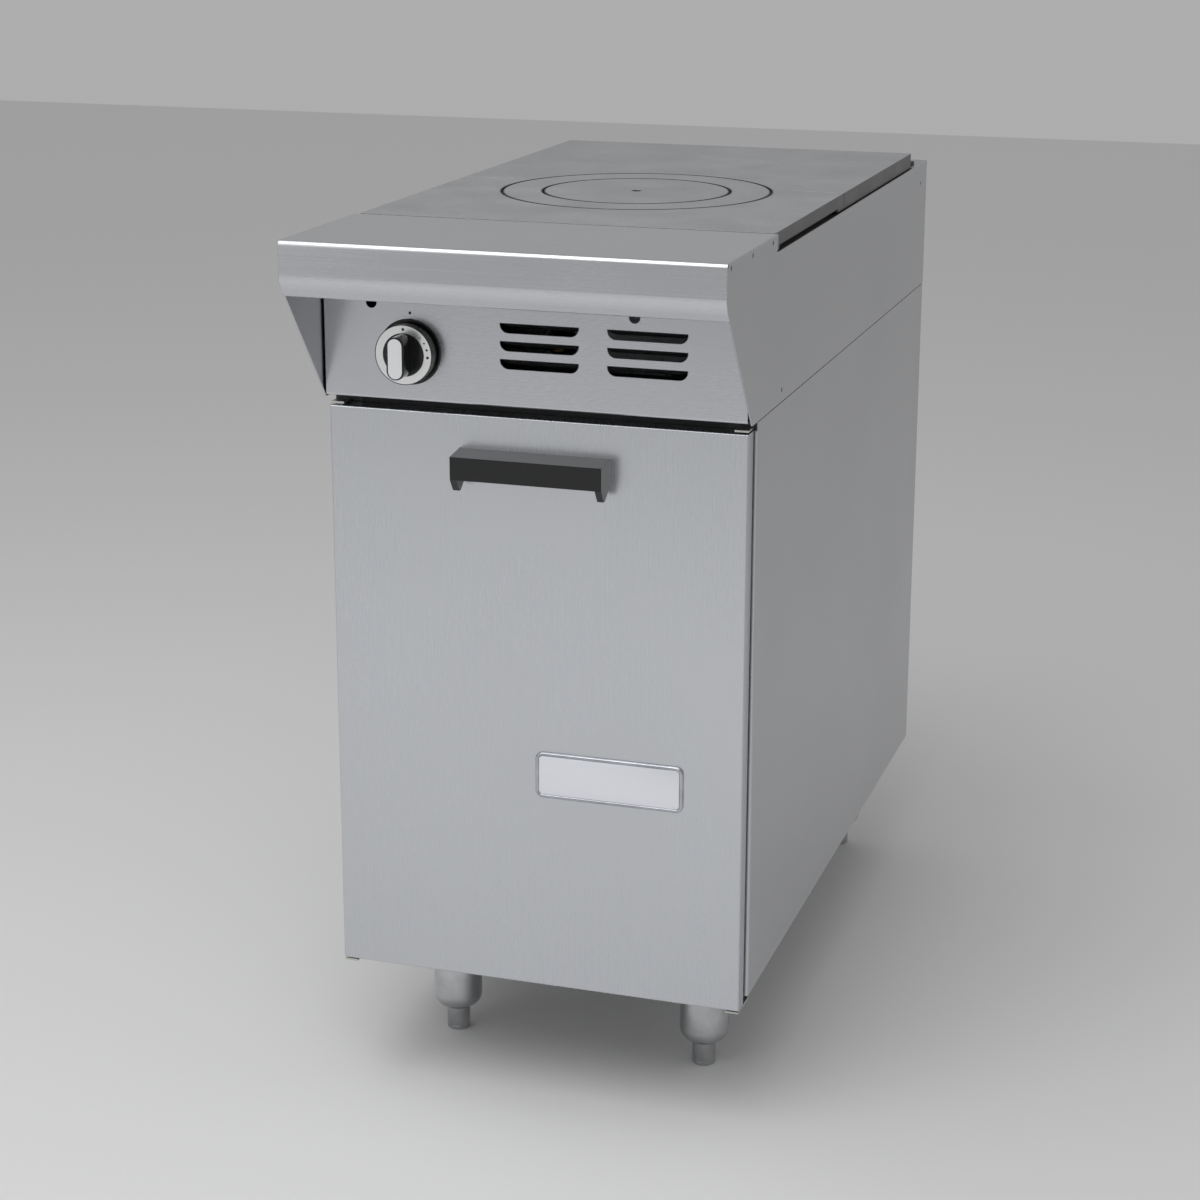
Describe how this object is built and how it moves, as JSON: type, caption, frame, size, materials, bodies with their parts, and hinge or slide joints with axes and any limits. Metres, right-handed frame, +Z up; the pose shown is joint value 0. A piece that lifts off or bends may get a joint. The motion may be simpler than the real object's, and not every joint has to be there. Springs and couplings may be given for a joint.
{
  "type": "hot plate burner",
  "caption": "Freestanding commercial gas hot plate range section with cast iron top, ring and lid, sloped front rail, knob, louvred panel, cabinet door and legs.",
  "frame": {"origin": "on the floor, under the middle of the overall box", "axes": "+X to the user's right, +Y towards the back, +Z up"},
  "size_m": [0.4572, 1.012, 0.95],
  "materials": {
    "door_steel": "vertical brushed grain, satin",
    "panel_steel": "horizontal brushed grain, satin",
    "rail_steel": "horizontal brushed grain, satin",
    "side_steel": "brushed, satin",
    "galvanised": "galvanised sheet, dull",
    "frame_steel": "dark paint on welded steel",
    "cast_plate": "machined cast iron, seasoned grey",
    "dark_iron": "raw dark casting",
    "insulation": "matt fibre board",
    "brass": "machined brass",
    "aluminium_tube": "drawn tube, satin",
    "black_pipe": "black iron pipe",
    "regulator_paint": "grey enamel",
    "zinc_steel": "zinc plated",
    "black_plastic": "fine satin moulded plastic",
    "white_nylon": "moulded nylon",
    "silver_dial": "satin silver",
    "handle_plastic": "fine satin moulded plastic",
    "plate_trim": "bright bevelled plate",
    "plate_face": "pale satin face",
    "screw_steel": "dull steel screw heads",
    "leg_steel": "polished tube",
    "foot_steel": "turned steel"
  },
  "bodies": {
    "cabinet": {"front_rail": "rail_steel", "valve_panel": "panel_steel", "upper_side_left": "side_steel", "upper_side_right": "side_steel", "lower_side_left": "side_steel", "lower_side_right": "side_steel", "base_frame": "frame_steel", "cabinet_floor": "galvanised", "cabinet_liner_left": "galvanised", "cabinet_liner_right": "galvanised", "cabinet_back": "galvanised", "cabinet_ceiling": "galvanised", "back_panel": "galvanised", "upper_back_panel": "galvanised", "flue_box": "galvanised", "flue_cap": "galvanised", "flue_grate": "dark_iron", "plate_frame": "frame_steel", "hot_plate_front": "cast_plate", "hot_plate_rear": "cast_plate", "burner_box": "galvanised", "firebox_boards": "insulation", "burner": "dark_iron", "gas_valve": "brass", "supply_tube": "aluminium_tube", "orifice_hood": "brass", "manifold_pipe": "black_pipe", "inlet_pipe": "black_pipe", "pressure_regulator": "regulator_paint", "gas_stub": "black_pipe", "pilot_burner": "zinc_steel", "pilot_tube": "aluminium_tube", "thermocouple": "brass", "knob_bezel": "black_plastic", "hinge_plates": "zinc_steel", "hinge_pins": "zinc_steel", "door_catch": "black_plastic", "side_screws": "screw_steel", "back_screws": "screw_steel", "leg_barrels": "leg_steel", "leg_nuts": "zinc_steel"},
    "door": {"door_skin": "door_steel", "door_liner": "galvanised", "pivot_bushes": "white_nylon", "door_strike": "zinc_steel", "door_handle": "handle_plastic", "handle_screws": "zinc_steel", "nameplate": "plate_trim"},
    "spindle_push": {"thrust_washer": "zinc_steel"},
    "knob": {"valve_spindle": "zinc_steel", "knob_body": "black_plastic", "knob_dial": "silver_dial", "knob_insert": "silver_dial"},
    "ring": {"hot_plate_ring": "cast_plate"},
    "lid": {"hot_plate_lid": "cast_plate"},
    "shutter": {"air_shutter": "zinc_steel"},
    "foot_fl": {"foot_front_left": "foot_steel"},
    "foot_fr": {"foot_front_right": "foot_steel"},
    "foot_rl": {"foot_rear_left": "foot_steel"},
    "foot_rr": {"foot_rear_right": "foot_steel"}
  },
  "joints": [
    {"name": "door_hinge", "type": "hinge", "parent": "cabinet", "child": "door", "pos_m": [-0.2175, -0.387, 0.45], "axis": [0, 0, -1], "range_deg": [0, 110]},
    {"name": "knob_push", "type": "slide", "parent": "cabinet", "child": "spindle_push", "axis": [0, 1, 0], "range_m": [0, 0.003], "stiffness_N_per_m": 1500, "springref_m": -0.003},
    {"name": "knob_turn", "type": "hinge", "parent": "spindle_push", "child": "knob", "pos_m": [-0.131, -0.416, 0.826], "axis": [0, -1, 0], "range_deg": [0, 100]},
    {"name": "ring_lift", "type": "slide", "parent": "cabinet", "child": "ring", "axis": [0, 0, 1], "range_m": [0, 0.08]},
    {"name": "lid_lift", "type": "slide", "parent": "ring", "child": "lid", "axis": [0, 0, 1], "range_m": [0, 0.08]},
    {"name": "shutter_turn", "type": "hinge", "parent": "cabinet", "child": "shutter", "pos_m": [0, -0.301, 0.826], "axis": [0, 1, 0], "range_deg": [0, 60]},
    {"name": "foot_front_left_height", "type": "slide", "parent": "cabinet", "child": "foot_fl", "axis": [0, 0, -1], "range_m": [0, 0.025]},
    {"name": "foot_front_right_height", "type": "slide", "parent": "cabinet", "child": "foot_fr", "axis": [0, 0, -1], "range_m": [0, 0.025]},
    {"name": "foot_rear_left_height", "type": "slide", "parent": "cabinet", "child": "foot_rl", "axis": [0, 0, -1], "range_m": [0, 0.025]},
    {"name": "foot_rear_right_height", "type": "slide", "parent": "cabinet", "child": "foot_rr", "axis": [0, 0, -1], "range_m": [0, 0.025]}
  ]
}
